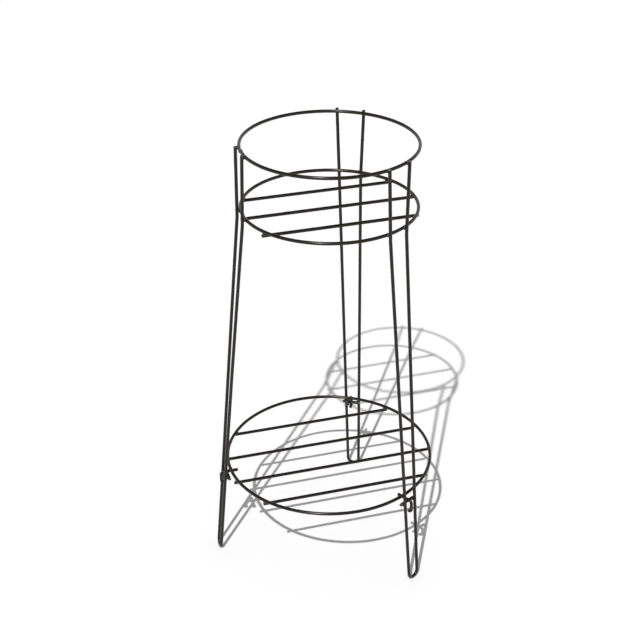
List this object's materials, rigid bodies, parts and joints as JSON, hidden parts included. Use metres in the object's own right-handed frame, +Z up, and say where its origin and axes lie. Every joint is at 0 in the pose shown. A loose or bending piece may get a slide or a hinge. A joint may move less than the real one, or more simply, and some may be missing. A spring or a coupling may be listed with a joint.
{
  "type": "tiered plant stand",
  "caption": "Tall welded wire plant stand with hairpin legs, a collared upper shelf for a pot and a larger hook-on lower shelf near the floor.",
  "frame": {"origin": "on the floor, at the middle of the bounding box; the axis of the hoops is 11.2 mm along +X from it, because one of the three legs points along -X", "axes": "+Z up, along the hoops' axis; -X points at the left leg, and the shelf bars run roughly along X; the front and rear legs point 60 degrees either side of +X, the front one towards -Y"},
  "size_m": [0.3504, 0.3316, 0.6811],
  "materials": {
    "frame_wire": "satin black finish on steel wire",
    "shelf_wire": "satin black finish on steel wire"
  },
  "bodies": {
    "frame": {"top_ring": "frame_wire", "upper_ring": "frame_wire", "upper_bar_front": "frame_wire", "upper_bar_middle": "frame_wire", "upper_bar_rear": "frame_wire", "leg_left": "frame_wire", "leg_front": "frame_wire", "leg_rear": "frame_wire", "crossbar_left": "frame_wire", "crossbar_front": "frame_wire", "crossbar_rear": "frame_wire"},
    "lower_shelf": {"lower_ring": "shelf_wire", "lower_bar_front": "shelf_wire", "lower_bar_front_middle": "shelf_wire", "lower_bar_rear_middle": "shelf_wire", "lower_bar_rear": "shelf_wire", "hook_left": "shelf_wire", "hook_front": "shelf_wire", "hook_rear": "shelf_wire"}
  },
  "joints": [
    {"name": "lower_shelf_lift", "type": "slide", "parent": "frame", "child": "lower_shelf", "axis": [0, 0, 1], "range_m": [0, 0.03]}
  ]
}
